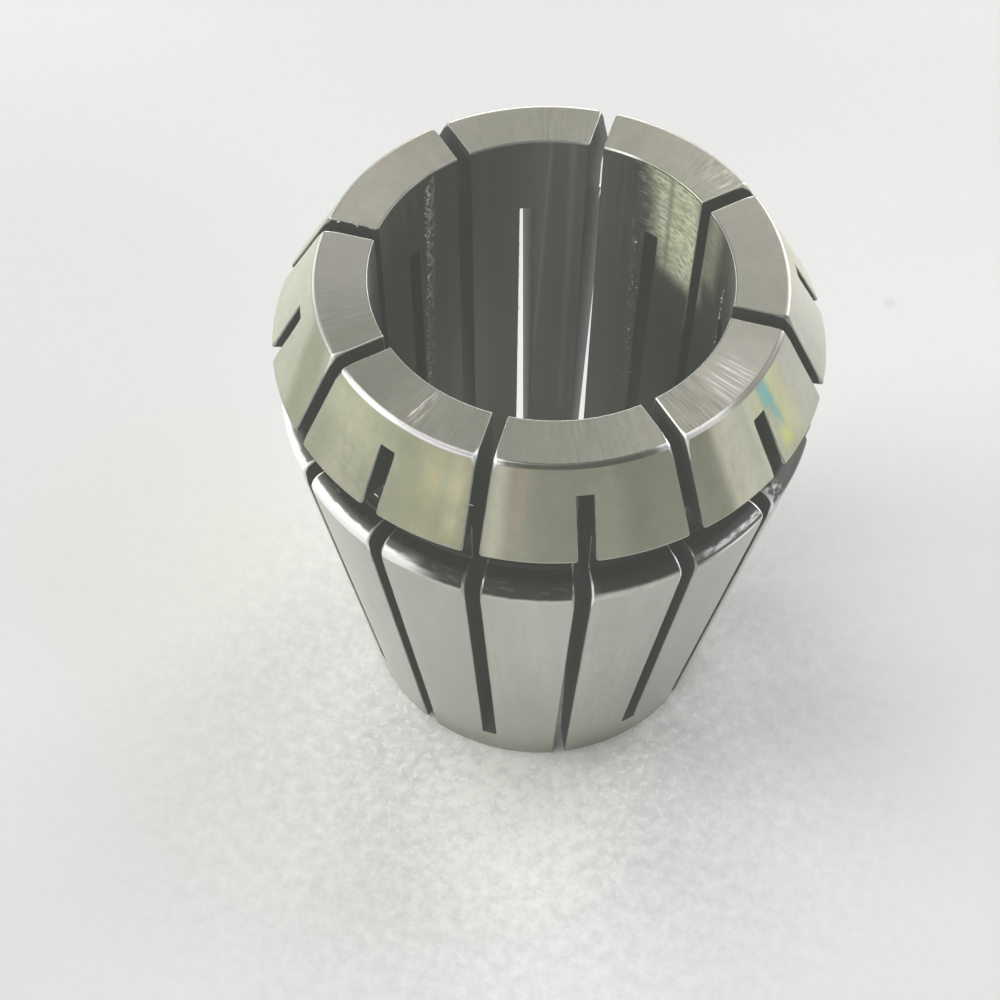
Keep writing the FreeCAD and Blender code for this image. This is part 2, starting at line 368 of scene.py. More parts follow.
def makePiece(name, vertices, polygons):   # vertices in mm
    mesh = bpy.data.meshes.new(name)
    mesh.from_pydata([tuple(vertex * metresPerMm) for vertex in vertices], [], polygons)
    mesh.update()
    print(name, "has", len(vertices), "vertices and", len(polygons), "faces")
    return addObject(name, mesh)


def makeCollet():
    rng = np.random.default_rng(skin["seed"])
    out = ColletSkin()
    for slot in range(collet["slotsPerEnd"]):
        middle = -math.pi + 2 * halfPitch * slot
        for side in (1, -1):
            # the turned map runs on past half a turn, so that no face straddles its seam
            buildHalfSegment(out, middle, side, rng)
    places = np.concatenate([face[0] for face in out.faces])
    keys = np.round(places / skin["joinWithin"]).astype(np.int64)
    firstSeen, index = np.unique(keys, axis=0, return_index=True, return_inverse=True)[1:]
    index = index.reshape(-1)
    polygons, facing, maps, slots = [], [], [], []
    start = 0
    for facePlaces, faceNormals, faceMaps, finish in out.faces:
        size = len(facePlaces)
        corners = index[start:start + size]
        start += size
        keep = [i for i in range(size) if corners[i] != corners[i - 1]]
        if len(keep) < 3:
            continue
        polygons.append([int(corners[i]) for i in keep])
        facing.extend(faceNormals[i] for i in keep)
        maps.extend(faceMaps[i] for i in keep)
        slots.append(finishes.index(finish))
    piece = makePiece("springCollet", places[firstSeen], polygons)
    mesh = piece.data
    mesh.polygons.foreach_set("material_index", slots)
    mesh.polygons.foreach_set("use_smooth", [True] * len(polygons))
    layer = mesh.uv_layers.new(name="turned")
    layer.data.foreach_set("uv", np.array(maps, float).reshape(-1))
    mesh.normals_split_custom_set([tuple(n) for n in facing])
    mesh.update()
    return piece


# Burrs that the saw has left. A row runs from its first place to its last, and a hair from root to tip, each
# place as azimuth in degrees, radius and level
burrs = {
    "seed": 12,
    "thinnest": 0.35,       # share of a sliver's size that its sides have at least
    "rows": [
        {"from": (149.7, 13.0, 45.0), "to": (154.2, 13.0, 21.0), "count": 440, "size": (0.05, 0.16),
         "scatter": (0.13, 0.02)},
        {"from": (73.6, 13.0, 38.5), "to": (70.6, 13.0, 19.0), "count": 120, "size": (0.04, 0.11),
         "scatter": (0.16, 0.02)},
        {"from": (109.9, 13.0, 38.3), "to": (109.9, 13.0, 24.0), "count": 60, "size": (0.03, 0.07),
         "scatter": (0.03, 0.01)},
        {"from": (115.1, 13.0, 38.6), "to": (115.1, 13.0, 5.0), "count": 42, "size": (0.05, 0.12),
         "scatter": (0.02, 0.01)},
        {"from": (25.2, 13.0, 42.0), "to": (25.0, 13.0, 36.0), "count": 30, "size": (0.04, 0.10),
         "scatter": (0.05, 0.01)},
        {"from": (177.9, 16.3, 45.90), "to": (177.5, 13.2, 45.90), "count": 70, "size": (0.03, 0.09),
         "scatter": (0.06, 0.01)},
        {"from": (-92.8, 16.86, 45.85), "to": (-92.9, 16.80, 45.85), "count": 6, "size": (0.10, 0.15),
         "scatter": (0.03, 0.01)},
        {"from": (-176.8, 15.2, 45.94), "to": (-177.3, 14.0, 45.94), "count": 8, "size": (0.03, 0.05),
         "scatter": (0.05, 0.01)},
    ],
    "hairs": [
        {"root": (-110.8, 19.76, 40.86), "tip": (-112.4, 19.76, 41.02), "thick": 0.045},
        {"root": (-91.9, 18.62, 42.92), "tip": (-90.6, 18.60, 42.86), "thick": 0.035},
    ],
}


def addSliver(vertices, polygons, middle, axes):   # a closed sliver with eight flat sides
    first = len(vertices)
    vertices.extend(middle + sign * axis for axis in axes for sign in (1, -1))
    for x in (0, 1):
        for y in (2, 3):
            for z in (4, 5):
                corners = [first + x, first + y, first + z]
                polygons.append(corners if (x + y + z) % 2 == 0 else corners[::-1])


def spotAt(degrees, radius, level):
    return onTurn(np.array(math.radians(degrees)), radius, level)


def makeBurrs(saw):
    rng = np.random.default_rng(saw["seed"])
    vertices, polygons = [], []
    for row in saw["rows"]:
        across, outward = row["scatter"]
        for share in np.sort(rng.uniform(0, 1, row["count"])):
            turn, radius, level = (a + (b - a) * share for a, b in zip(row["from"], row["to"]))
            turn += math.degrees(rng.normal(0, across) / radius)
            size = rng.uniform(*row["size"])
            spin = np.linalg.qr(rng.normal(size=(3, 3)))[0]
            spin[0] *= np.linalg.det(spin)
            axes = [spin[k] * size * rng.uniform(saw["thinnest"], 1) for k in range(3)]
            addSliver(vertices, polygons, spotAt(turn, radius + rng.normal(0, outward), level), axes)
    for hair in saw["hairs"]:
        root, tip = spotAt(*hair["root"]), spotAt(*hair["tip"])
        way = (tip - root) / 2
        outward = spotAt(hair["root"][0], 1.0, 0.0)
        sideways = np.cross(outward, way)
        sideways *= hair["thick"] / np.linalg.norm(sideways)
        addSliver(vertices, polygons, (root + tip) / 2, [way, sideways, outward * hair["thick"]])
    return makePiece("sawBurrs", vertices, polygons)


# The noises behind the finishes: the seed, detail and roughness of each. The seed of a mark, or of a field
# of painted light or shade, is the first mark seed here plus its place in the list, so a new one goes last.
# Its ragged edge and its grain add theirs to that
noiseLook = {
    "lines": (1, 3.0, 0.65), "mottle": (2, 3.0, 0.55), "speck": (3, 2.0, 0.55), "blotch": (3.5, 5.0, 0.7),
    "firstMarkOrPaintedLight": 4, "ragged": (0.5, 4.0), "grain": (0.25, 2.0),
    "nap": (1, 3.0, 0.75), "glints": (2, 1.0),
    "seedStep": (7.13, 3.71, 1.0),
    "middle": 0.5,
    "span": (0.3, 0.7),     # where most of a noise lies
    "shade": (0.22, 0.15),  # how far either way it shades, plain and for each unit of lineColour
}


class Finish:   # a material and the nodes that lead to its shader
    def __init__(self, name):
        self.material = bpy.data.materials.new(name)
        self.material.use_nodes = True
        self.tree = self.material.node_tree

    def join(self, socket, value):   # value is a number, a colour or another node's output
        if isinstance(value, bpy.types.NodeSocket):
            self.tree.links.new(value, socket)
        else:
            socket.default_value = (*value, 1) if socket.type == "RGBA" else value

    def add(self, kind, inputs, output=0, **settings):
        node = self.tree.nodes.new("ShaderNode" + kind)
        for setting, value in settings.items():
            setattr(node, setting, value)
        for name, value in inputs.items():
            self.join(node.inputs[name], value)
        return node.outputs[output]

    def dress(self, inputs):   # the shader's own inputs
        shader = self.tree.nodes["Principled BSDF"]
        for name, value in inputs.items():
            self.join(shader.inputs[name], value)
        return self.material

    def noise(self, place, scales, seed, detail, rough=0.55):
        start = tuple(seed * step for step in noiseLook["seedStep"])
        spot = self.add("Mapping", {"Vector": place, "Location": start, "Scale": (*scales, 1)}, "Vector")
        look = {"Vector": spot, "Scale": 1.0, "Detail": detail, "Roughness": rough}
        return self.add("TexNoise", look, "Fac")

    def spread(self, value, low, high, newLow=0.0, newHigh=1.0, smooth=False):
        inputs = {"Value": value, "From Min": low, "From Max": high, "To Min": newLow, "To Max": newHigh}
        ease = "SMOOTHSTEP" if smooth else "LINEAR"
        return self.add("MapRange", inputs, "Result", interpolation_type=ease)

    def blendColour(self, factor, first, second):
        return self.add("Mix", {0: factor, 6: first, 7: second}, 2, data_type="RGBA")

    def blendValue(self, factor, first, second):
        return self.add("Mix", {0: factor, 2: first, 3: second})

    def scaleColour(self, colour, share):
        return self.add("VectorMath", {0: colour, "Scale": share}, "Vector", operation="SCALE")

    def combine(self, operation, *values):
        return self.add("Math", dict(enumerate(values)), "Value", operation=operation)

    def addUp(self, first, second, share):
        return self.combine("ADD", first, self.combine("MULTIPLY", second, share))


def stretchWay(name):   # where a stretch starts and ends along the outline, in mm
    spots = [i for i in range(rowCount) if names[i] == name]
    return along[spots[0]], along[spots[-1] + 1]


halfTurn = math.pi * rimRadius   # mm in the turned map


def withinSpan(steel, value, middle, half, soft, around=False):   # 1 inside, 0 outside, soft between
    away = steel.combine("SUBTRACT", value, middle)
    if around:   # the shorter way round
        away = steel.combine("WRAP", away, halfTurn, -halfTurn)
    return steel.spread(steel.combine("ABSOLUTE", away), half + soft / 2, half - soft / 2, smooth=True)


def markOrPaintedLightMask(steel, wrap, split, markOrPaintedLight, seed):
    start, end = stretchWay(markOrPaintedLight["on"])
    low, high = (start + (end - start) * share for share in markOrPaintedLight["rise"])
    lean = markOrPaintedLight["lean"]
    softAround, softAlong = markOrPaintedLight["soft"]
    around, upward = split["X"], split["Y"]
    if lean:
        around = steel.addUp(around, upward, -lean)
    if "ragged" in markOrPaintedLight:
        seedOn, detail = noiseLook["ragged"]
        noise = steel.noise(wrap, markOrPaintedLight["wave"], seed + seedOn, detail)
        shift = steel.combine("SUBTRACT", noise, noiseLook["middle"])
        shift = steel.combine("MULTIPLY", shift, markOrPaintedLight["ragged"])
        around, upward = (steel.combine("ADD", way, shift) for way in (around, upward))
    mask = withinSpan(steel, upward, (low + high) / 2, (high - low) / 2, softAlong)
    if markOrPaintedLight["turn"]:
        left, right = (math.radians(turn) * rimRadius for turn in markOrPaintedLight["turn"])
        middle = (left + right) / 2 - lean * (low + high) / 2
        within = withinSpan(steel, around, middle, (right - left) / 2, softAround, around=True)
        mask = steel.combine("MULTIPLY", mask, within)
    if "grain" in markOrPaintedLight:
        *scales, first, last = markOrPaintedLight["grain"]
        seedOn, detail = noiseLook["grain"]
        grain = steel.noise(wrap, scales, seed + seedOn, detail)
        mask = steel.combine("MULTIPLY", mask, steel.spread(grain, first, last))
    return steel.combine("MULTIPLY", mask, markOrPaintedLight["strength"])


def groundSteel(name, look):
    steel = Finish(name)
    wrap = steel.add("UVMap", {}, "UV", uv_map="turned")
    lines, mottle, speck = (steel.noise(wrap, look[part], *noiseLook[part])
                            for part in ("lines", "mottle", "speck"))
    lineColour = look["lineColour"]
    middle = noiseLook["middle"] * (1 + lineColour)
    reach = noiseLook["shade"][0] + noiseLook["shade"][1] * lineColour
    shade = steel.spread(steel.addUp(mottle, lines, lineColour), middle - reach, middle + reach)
    colour = steel.blendColour(shade, look["dark"], look["light"])
    rough = steel.spread(lines, *noiseLook["span"], *look["roughness"])
    split = steel.add("SeparateXYZ", {"Vector": wrap}).node.outputs
    # Marks on the steel and fields of painted light and shade, laid over its own tone one by one
    for number, own in enumerate(look.get("marksAndPaintedLight", [])):
        laid = {**plainMarkOrPaintedLight, **look["allMarksAndPaintedLight"], **own}
        mask = markOrPaintedLightMask(steel, wrap, split, laid, noiseLook["firstMarkOrPaintedLight"] + number)
        colour = steel.blendColour(mask, colour, laid["colour"])
        if "roughness" in laid:
            rough = steel.blendValue(mask, rough, laid["roughness"])
    if "blotch" in look:
        *scales, depth = look["blotch"]
        blotch = steel.noise(wrap, scales, *noiseLook["blotch"])
        colour = steel.scaleColour(colour, steel.spread(blotch, 0.0, 1.0, 1 - depth / 2, 1 + depth / 2))
    height = steel.addUp(lines, speck, look["speckShare"])
    bump = {"Strength": 1.0, "Distance": look["depth"] * metresPerMicron, "Height": height}
    return steel.dress({
        "Base Color": colour, "Roughness": rough, "Normal": steel.add("Bump", bump, "Normal"),
        "Metallic": look.get("metallic", 1.0), "Specular IOR Level": look.get("sheen", 0.5),
        "Anisotropic": look["anisotropy"], "Anisotropic Rotation": look["lie"],
        "Tangent": steel.add("Tangent", {}, "Tangent", direction_type="RADIAL", axis="Z"),
    })


# What a mark, or a field of painted light or shade, has unless its own row says otherwise. Its rise is a
# share of
# the stretch that it is on: on the nose from the flange to the face, on the face and its edge from the
# outside in, in the bore from the mouth down. Its edges are so soft, in mm round and along. It leans so many
# mm round for each mm along
plainMarkOrPaintedLight = {"rise": (-0.5, 1.5), "soft": (0.5, 0.5), "lean": 0.0, "wave": (1.2, 1.2), "strength": 1.0}


# A mark on the steel, or a field of painted light or shade, between two azimuths in degrees
def markOrPaintedLight(turn, colour, **more):   # turn is two azimuths in degrees, or None for all round
    return {"turn": turn, "colour": colour, **more}


# Each finish has its own dictionary, and its colours carry painted light and shade as well as the steel's
# own tone, as said at each. Scales are cycles for each mm round the axis and along the outline, and depth is
# in thousandths of a mm. The grain of a mark or of painted light is two scales, and where its noise starts
# and is full. Its edges are ragged by so many mm, in waves of two scales
faceFinishAndPaintedLight = {
    "dark": (0.485, 0.48, 0.39), "light": (0.575, 0.56, 0.47),
    "lines": (6.0, 0.15), "mottle": (0.5, 0.5), "speck": (7.0, 7.0),
    "lineColour": 0.45, "roughness": (0.30, 0.38), "depth": 1.4, "speckShare": 0.1,
    "anisotropy": 0.4, "lie": 0.0, "blotch": (0.9, 0.9, 0.26),
    "allMarksAndPaintedLight": {"on": "face"},
    # Broad lighter and darker fields round the face are painted reflection and shade. The grained ones are
    # grinding scratches, their lightness partly painted light, and the near-white streaks from -112.3 to
    # -108.7, -28 to -16 and 46 to 58 are painted highlights
    "marksAndPaintedLight": [
        markOrPaintedLight((178, 215), (0.47, 0.455, 0.395), soft=(5, 1), strength=0.75),
        markOrPaintedLight((-150, -118), (0.42, 0.415, 0.345), soft=(5, 1), strength=0.75),
        markOrPaintedLight((-100, -56), (0.425, 0.43, 0.355), soft=(6, 1), strength=0.8),
        markOrPaintedLight((-32, -3), (0.76, 0.725, 0.64), soft=(6, 1), strength=0.8),
        markOrPaintedLight((22, 44), (0.49, 0.46, 0.395), soft=(4, 1), strength=0.7),
        markOrPaintedLight((135, 182), (0.655, 0.555, 0.44), grain=(0.7, 0.7, 0.5, 0.72), strength=0.5),
        markOrPaintedLight((60, 135), (0.545, 0.505, 0.415), grain=(0.5, 0.7, 0.48, 0.72), strength=0.6),
        markOrPaintedLight((-165, -145), (0.625, 0.61, 0.54), soft=(2, 1), grain=(5.5, 0.35, 0.5, 0.72), strength=0.5),
        markOrPaintedLight((-160, -140), (0.295, 0.295, 0.245), soft=(2, 1), grain=(5.0, 0.3, 0.52, 0.72), strength=0.45),
        markOrPaintedLight((-112.3, -108.7), (0.92, 0.89, 0.83), rise=(0.15, 0.9), soft=(0.6, 1.4),
             grain=(4.2, 0.5, 0.52, 0.64), roughness=0.5, strength=1.0),
        markOrPaintedLight((-118, -100), (0.675, 0.65, 0.595), soft=(3, 1), grain=(5.6, 0.4, 0.54, 0.72), strength=0.5),
        markOrPaintedLight((-84, -52), (0.435, 0.435, 0.34), grain=(0.8, 0.8, 0.48, 0.75), strength=0.6),
        markOrPaintedLight((-43, -28), (0.275, 0.28, 0.205), soft=(1, 1), grain=(4.6, 0.3, 0.48, 0.68), strength=0.8),
        markOrPaintedLight((-42, -16), (0.715, 0.67, 0.595), soft=(2, 1), grain=(5.2, 0.3, 0.5, 0.7), strength=0.75),
        markOrPaintedLight((-28, -16), (0.95, 0.9, 0.84), rise=(0.0, 0.75), soft=(1.5, 1.5), lean=0.25,
             grain=(6.5, 0.25, 0.5, 0.62), roughness=0.45, strength=0.85),
        markOrPaintedLight((46, 58), (0.79, 0.715, 0.64), rise=(-0.1, 0.55), soft=(2, 1.5), lean=-0.5,
             grain=(4.0, 0.6, 0.5, 0.68), roughness=0.45, strength=0.95),
        markOrPaintedLight((44, 66), (0.375, 0.335, 0.29), soft=(3, 1), grain=(5.0, 0.5, 0.52, 0.72), strength=0.6),
        markOrPaintedLight((-8, 40), (0.635, 0.585, 0.515), soft=(3, 1), grain=(5.4, 0.35, 0.52, 0.72), strength=0.5),
    ],
}
noseFinishAndPaintedLight = {
    "dark": (0.42, 0.425, 0.31), "light": (0.495, 0.50, 0.375),
    "lines": (0.35, 5.0), "mottle": (0.5, 0.35), "speck": (4.0, 4.0),
    "lineColour": 0.10, "roughness": (0.29, 0.32), "depth": 0.4, "speckShare": 1.0,
    "anisotropy": 0.6, "lie": 0.25, "blotch": (0.5, 0.35, 0.46),
    "allMarksAndPaintedLight": {"on": "nose"},
    # Lighter and darker bands round the nose are painted reflection and shade, and the near-white band from
    # -88 to -84 is a painted highlight. The teal and yellow streaks from -20.6 to -15.6 are a temper stain,
    # and the two grained marks all round are the steel's own mottle
    "marksAndPaintedLight": [
        markOrPaintedLight(None, (0.55, 0.49, 0.4), grain=(0.75, 0.35, 0.5, 0.7), strength=0.5),
        markOrPaintedLight((-205, -146), (0.575, 0.585, 0.455), soft=(2.5, 1), lean=-0.35, strength=0.8),
        markOrPaintedLight((-146, -137), (0.335, 0.35, 0.235), soft=(1.5, 1), lean=-0.35, ragged=0.5, strength=0.8),
        markOrPaintedLight((-134, -126), (0.275, 0.29, 0.205), soft=(3, 2), strength=0.6),
        markOrPaintedLight((-134, -114), (0.35, 0.37, 0.25), soft=(2, 1), grain=(1.4, 1.4, 0.45, 0.68), strength=0.7),
        markOrPaintedLight((-134, -96), (0.56, 0.575, 0.39), rise=(0.55, 1.1), soft=(4, 3), strength=0.6),
        markOrPaintedLight((-108, -91), (0.51, 0.5, 0.31), soft=(3, 2), ragged=1.0, strength=0.6),
        markOrPaintedLight((-105.5, -103), (0.4, 0.405, 0.265), rise=(0.1, 0.9), soft=(1.2, 2), ragged=0.5, strength=0.6),
        markOrPaintedLight((-100.8, -99.2), (0.615, 0.52, 0.29), rise=(0.4, 0.95), soft=(0.7, 2), ragged=0.3,
             strength=0.6),
        markOrPaintedLight((-102.5, -101.5), (0.465, 0.49, 0.26), rise=(0.3, 0.8), soft=(0.7, 2), ragged=0.3,
             strength=0.6),
        markOrPaintedLight((-112, -93), (0.41, 0.42, 0.275), rise=(0.78, 1.2), soft=(2, 1.4), strength=0.5),
        markOrPaintedLight((-108, -92), (0.36, 0.375, 0.235), rise=(-0.1, 0.5), soft=(2, 3), strength=0.6),
        markOrPaintedLight((-96, -93), (0.74, 0.7, 0.46), rise=(0.1, 0.95), soft=(1.4, 3), ragged=0.4, strength=0.8),
        markOrPaintedLight((-109.5, -104), (0.41, 0.425, 0.29), soft=(1.8, 2), strength=0.6),
        markOrPaintedLight((-88, -84), (0.93, 0.92, 0.71), soft=(1.5, 2), strength=0.85),
        markOrPaintedLight((-83.5, -80), (0.56, 0.46, 0.365), rise=(0.2, 1.1), soft=(1.2, 3), strength=0.7),
        markOrPaintedLight((-79, -68), (0.315, 0.33, 0.245), soft=(2, 2), strength=0.8),
        markOrPaintedLight((-66, -60), (0.54, 0.545, 0.415), soft=(1.5, 2), strength=0.5),
        markOrPaintedLight((-59, -46), (0.37, 0.385, 0.285), soft=(2, 2), strength=0.7),
        markOrPaintedLight((-43, -36.5), (0.315, 0.325, 0.245), soft=(1.8, 2), lean=-0.06, strength=0.8),
        markOrPaintedLight((-36, -24), (0.77, 0.755, 0.61), soft=(1.0, 2), lean=-0.06, strength=0.8),
        markOrPaintedLight((-29, -24), (0.43, 0.44, 0.345), soft=(2.4, 2), strength=0.8),
        markOrPaintedLight(None, (0.37, 0.38, 0.28), grain=(1.6, 1.0, 0.5, 0.74), strength=0.25),
        markOrPaintedLight((-24, -20), (0.51, 0.555, 0.29), rise=(0.35, 0.95), soft=(1.6, 2), ragged=0.6, strength=0.6),
        markOrPaintedLight((-17, -11), (0.575, 0.595, 0.325), rise=(0.15, 1.1), soft=(1.4, 2), lean=-0.05, ragged=0.6,
             strength=0.7),
        markOrPaintedLight((-11, 20), (0.52, 0.51, 0.465), soft=(1.5, 2), strength=0.7),
        markOrPaintedLight((-13.8, -11.8), (0.61, 0.545, 0.43), rise=(0.1, 0.8), soft=(0.8, 2), lean=-0.1, strength=0.35),
        markOrPaintedLight((-20.6, -17.0), (0.2, 0.42, 0.4), rise=(0.7, 1.1), soft=(0.6, 1.5), lean=-0.07, ragged=0.3,
             strength=0.95),
        markOrPaintedLight((-18.6, -16.6), (0.21, 0.43, 0.4), rise=(0.5, 0.85), soft=(0.5, 1.4), lean=-0.07, ragged=0.3,
             strength=0.9),
        markOrPaintedLight((-17.0, -16.1), (0.25, 0.45, 0.38), rise=(0.36, 0.6), soft=(0.4, 1.2), lean=-0.07, ragged=0.2,
             strength=0.8),
        markOrPaintedLight((-18.5, -15.6), (0.6, 0.6, 0.22), rise=(0.12, 0.34), soft=(0.6, 1.2), lean=-0.05, ragged=0.4,
             strength=0.8),
    ],
}
taperFinishAndPaintedLight = {
    "dark": (0.475, 0.48, 0.435), "light": (0.545, 0.55, 0.505),
    "lines": (0.30, 5.0), "mottle": (0.50, 0.05), "speck": (4.0, 4.0),
    "lineColour": 0.08, "roughness": (0.29, 0.32), "depth": 0.4, "speckShare": 0.8,
    "anisotropy": 0.6, "lie": 0.25,
    "allMarksAndPaintedLight": {"on": "taper"},
    # The lighter field from -150 to -112 is a painted reflection. The darker fields in front, darkest
    # towards the foot, and the dark rear chamfer all round are painted shade where the collet meets the
    # cloth. The grained marks are mottle and smears on the steel
    "marksAndPaintedLight": [
        markOrPaintedLight((-150, -112), (0.6, 0.605, 0.565), soft=(6, 1), strength=0.75),
        markOrPaintedLight((-98, -20), (0.42, 0.43, 0.385), rise=(-0.1, 0.52), soft=(7, 14), strength=0.6),
        markOrPaintedLight((-103, -50), (0.34, 0.355, 0.295), rise=(-0.1, 0.13), soft=(5, 4), strength=0.5),
        markOrPaintedLight((-116, -40), (0.24, 0.25, 0.185), rise=(-0.1, 0.07), soft=(6, 3.5), ragged=2.2,
             wave=(0.9, 0.5), strength=0.5),
        markOrPaintedLight(None, (0.26, 0.27, 0.21), on="rearLead"),
        markOrPaintedLight((-135, -20), (0.455, 0.47, 0.39), grain=(0.5, 0.35, 0.5, 0.74), strength=0.5),
        markOrPaintedLight((-125, -30), (0.405, 0.425, 0.335), rise=(0.0, 0.5), soft=(3, 6), grain=(1.3, 0.9, 0.54, 0.74),
             strength=0.45),
        markOrPaintedLight((-95, -40), (0.435, 0.44, 0.375), rise=(0.1, 0.9), soft=(4, 8), grain=(1.5, 0.12, 0.5, 0.72),
             strength=0.6),
        markOrPaintedLight((-68, -52), (0.64, 0.64, 0.53), rise=(0.15, 0.75), soft=(3, 6), grain=(1.6, 1.0, 0.55, 0.7),
             strength=0.5),
    ],
}
rimFinishAndPaintedLight = {
    "dark": (0.40, 0.40, 0.37), "light": (0.62, 0.62, 0.57),
    "lines": (0.25, 4.0), "mottle": (0.6, 2.0), "speck": (3.0, 5.0),
    "lineColour": 0.4, "roughness": (0.24, 0.34), "depth": 2.0, "speckShare": 1.0,
    "anisotropy": 0.2, "lie": 0.25,
    "allMarksAndPaintedLight": {"on": "rim"},
    # These are painted light and shade: the light bands are painted reflections of the lamps, and the dark
    # fields, speckled or plain, in front and to the right are painted shade. Only the grey grained mark from
    # -21.5 to -17 is scratches
    "marksAndPaintedLight": [
        markOrPaintedLight((-185, -106), (0.98, 0.98, 0.96), rise=(-0.2, 0.58), soft=(4, 0.35), ragged=0.3,
             roughness=0.55),
        markOrPaintedLight((-165, -104), (0.1, 0.105, 0.09), rise=(0.62, 1.5), soft=(2, 0.35), ragged=0.5,
             roughness=0.45),
        markOrPaintedLight((-104, -66), (0.045, 0.048, 0.04), rise=(0.18, 1.5), soft=(3, 0.3), ragged=0.25,
             roughness=0.6),
        markOrPaintedLight((-111.5, -101), (0.98, 0.98, 0.96), rise=(0.12, 0.5), soft=(4, 0.3), lean=-0.05, ragged=0.5,
             wave=(1.0, 2.5), roughness=0.5),
        markOrPaintedLight((-104, -58), (0.6, 0.61, 0.55), rise=(-0.2, 0.12), soft=(2, 0.2), roughness=0.45,
             strength=0.8),
        markOrPaintedLight((-100, -60), (0.2, 0.21, 0.18), rise=(0.3, 1.0), soft=(3, 0.5), grain=(1.0, 4.0, 0.54, 0.74),
             strength=0.6),
        markOrPaintedLight((-66, -45), (0.045, 0.048, 0.04), rise=(0.36, 1.5), soft=(2, 0.4), lean=-0.03, ragged=0.2,
             roughness=0.55),
        markOrPaintedLight((-45, 30), (0.06, 0.062, 0.058), rise=(0.15, 1.5), soft=(2, 0.2), roughness=0.4,
             strength=0.95),
        markOrPaintedLight((-42, -24), (0.98, 0.98, 0.98), rise=(0.42, 0.66), soft=(3, 0.22),
             grain=(1.2, 3.0, 0.34, 0.58), ragged=0.12, roughness=0.5),
        markOrPaintedLight((-38, -24), (0.98, 0.98, 0.98), rise=(0.14, 0.28), soft=(5, 0.14), ragged=0.06, roughness=0.5),
        markOrPaintedLight((-21.5, -17), (0.6, 0.6, 0.6), rise=(0.2, 1.2), soft=(1.2, 0.3), grain=(1.5, 2.2, 0.45, 0.6),
             roughness=0.5),
    ],
}
rimWallFinishAndPaintedShadeAndLight = {
    # Its near-black tone is painted shade, where the nose's flange overhangs the wall
    "dark": (0.02, 0.021, 0.018), "light": (0.05, 0.052, 0.046),
    "lines": (0.3, 5.0), "mottle": (1.2, 1.8), "speck": (4.0, 4.0),
    "lineColour": 0.5, "roughness": (0.45, 0.60), "depth": 3.0, "speckShare": 1.0,
    "anisotropy": 0.0, "lie": 0.0,
    "allMarksAndPaintedLight": {"on": "rimWall"},
    # Painted reflection: a bright speckled field on the left
    "marksAndPaintedLight": [
        markOrPaintedLight((-150, -108), (0.75, 0.75, 0.72), rise=(-0.3, 0.35), soft=(5, 0.4),
             grain=(1.4, 2.6, 0.58, 0.72), roughness=0.4, strength=0.8),
    ],
}
grooveFinishAndPaintedShade = {
    # Its near-black tone is painted shade of the groove under the nose's flange
    "dark": (0.028, 0.029, 0.025), "light": (0.05, 0.052, 0.046),
    "lines": (0.3, 5.0), "mottle": (0.5, 0.8), "speck": (4.0, 4.0),
    "lineColour": 0.4, "roughness": (0.50, 0.62), "depth": 3.0, "speckShare": 0.5,
    "anisotropy": 0.0, "lie": 0.0,
}
